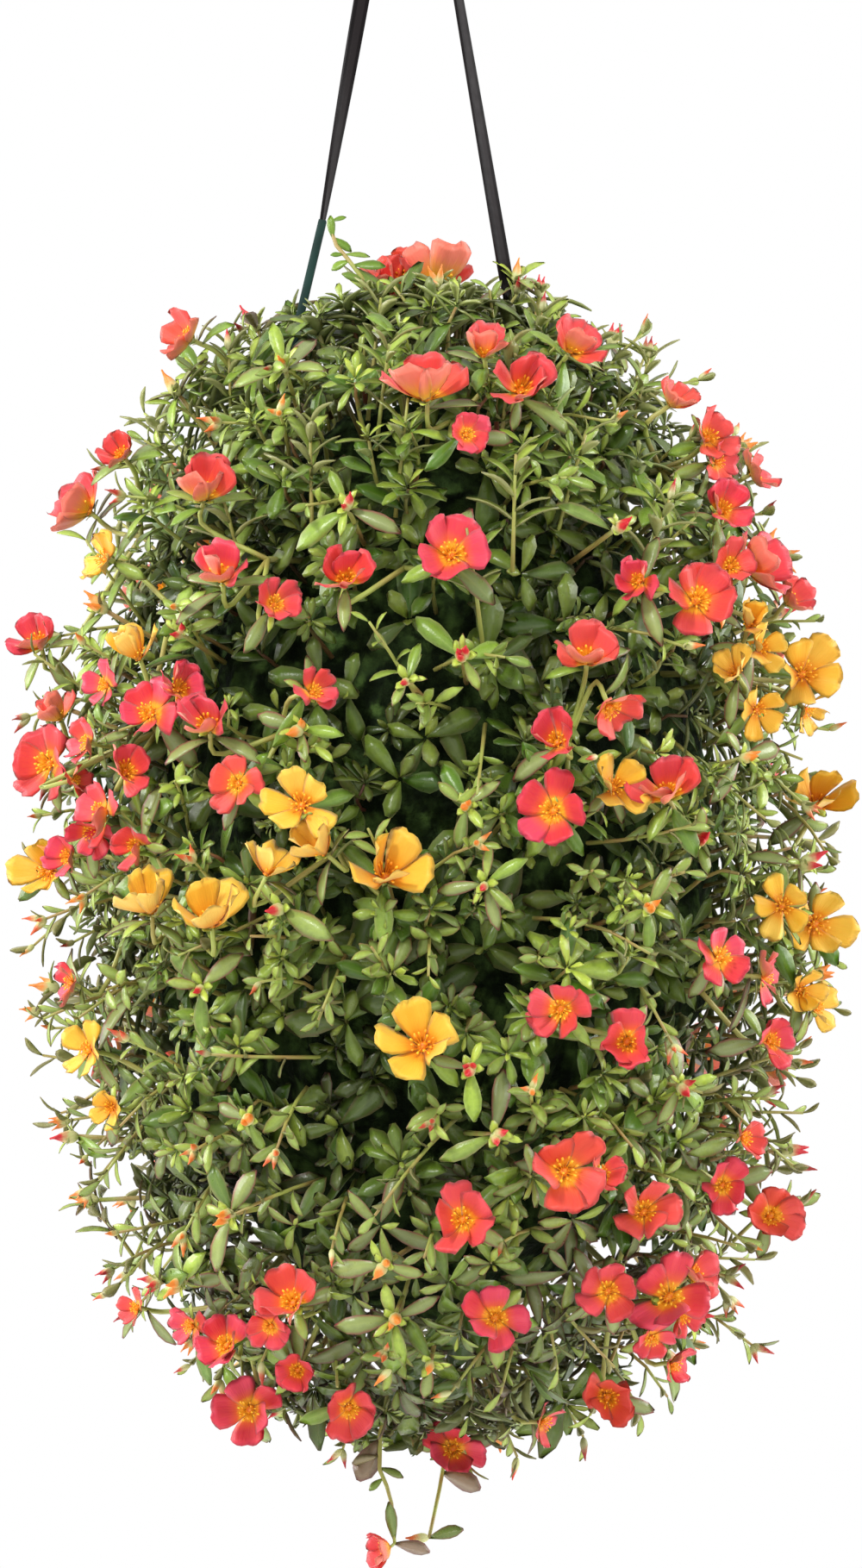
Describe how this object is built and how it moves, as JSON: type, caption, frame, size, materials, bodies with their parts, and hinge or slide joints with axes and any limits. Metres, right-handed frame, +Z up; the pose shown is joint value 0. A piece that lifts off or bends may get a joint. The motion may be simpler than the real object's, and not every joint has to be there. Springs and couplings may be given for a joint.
{
  "type": "potted moss rose",
  "caption": "Ball-shaped moss rose in full coral and yellow bloom, grown over a round plastic pot that hangs by flat straps on channel arms from a wire hook.",
  "frame": {"origin": "middle of the hook's inner top, where the hanging pot rests on what carries it", "axes": "+Z up along the hanger, -Y towards the side that the picture shows, +X to its right"},
  "size_m": [0.427, 0.4094, 0.9479],
  "materials": {
    "pot_plastic": "satin moulded plastic, dark blue-green",
    "strap": "satin flat strap, dark grey",
    "hanger_hook": "smooth moulded, dark grey",
    "soil": "loose moist potting soil",
    "leaf": "fleshy leaf, soft sheen",
    "young_leaf": "young fleshy leaf, soft sheen",
    "trailing_leaf": "fleshy leaf with reddish edge, soft sheen",
    "coral_petal": "thin silky petal",
    "yellow_petal": "thin silky petal"
  },
  "bodies": {
    "root": {"arm_left": "pot_plastic", "arm_right": "pot_plastic", "belt_stems_1": "leaf", "belt_stems_2": "leaf", "belt_stems_3": "leaf", "belt_stems_4": "leaf", "belt_stems_5": "leaf", "coral_spray_01": "coral_petal", "coral_spray_02": "coral_petal", "coral_spray_03": "coral_petal", "coral_spray_04": "coral_petal", "coral_spray_05": "coral_petal", "coral_spray_06": "coral_petal", "coral_spray_07": "coral_petal", "coral_spray_08": "coral_petal", "coral_spray_09": "coral_petal", "coral_spray_10": "coral_petal", "coral_spray_11": "coral_petal", "coral_spray_12": "coral_petal", "coral_spray_13": "coral_petal", "coral_spray_14": "coral_petal", "coral_spray_15": "coral_petal", "coral_spray_16": "coral_petal", "coral_spray_17": "coral_petal", "coral_spray_18": "coral_petal", "coral_spray_19": "coral_petal", "coral_spray_20": "coral_petal", "coral_spray_21": "coral_petal", "coral_spray_22": "coral_petal", "coral_spray_23": "coral_petal", "coral_spray_24": "coral_petal", "coral_spray_25": "coral_petal", "coral_spray_26": "coral_petal", "crown_stems_1": "leaf", "crown_stems_2": "leaf", "crown_stems_3": "leaf", "crown_stems_4": "leaf", "hanger_hook": "hanger_hook", "pot": "pot_plastic", "skirt_stems_1": "young_leaf", "skirt_stems_2": "young_leaf", "skirt_stems_3": "young_leaf", "skirt_stems_4": "young_leaf", "skirt_stems_5": "young_leaf", "soil": "soil", "strap_left": "strap", "strap_right": "strap", "trailing_stems_1": "trailing_leaf", "trailing_stems_2": "trailing_leaf", "trailing_stems_3": "trailing_leaf", "trailing_stems_4": "trailing_leaf", "yellow_spray_01": "yellow_petal", "yellow_spray_02": "yellow_petal", "yellow_spray_03": "yellow_petal", "yellow_spray_04": "yellow_petal", "yellow_spray_05": "yellow_petal", "yellow_spray_06": "yellow_petal", "yellow_spray_07": "yellow_petal", "yellow_spray_08": "yellow_petal", "yellow_spray_09": "yellow_petal"}
  },
  "joints": []
}
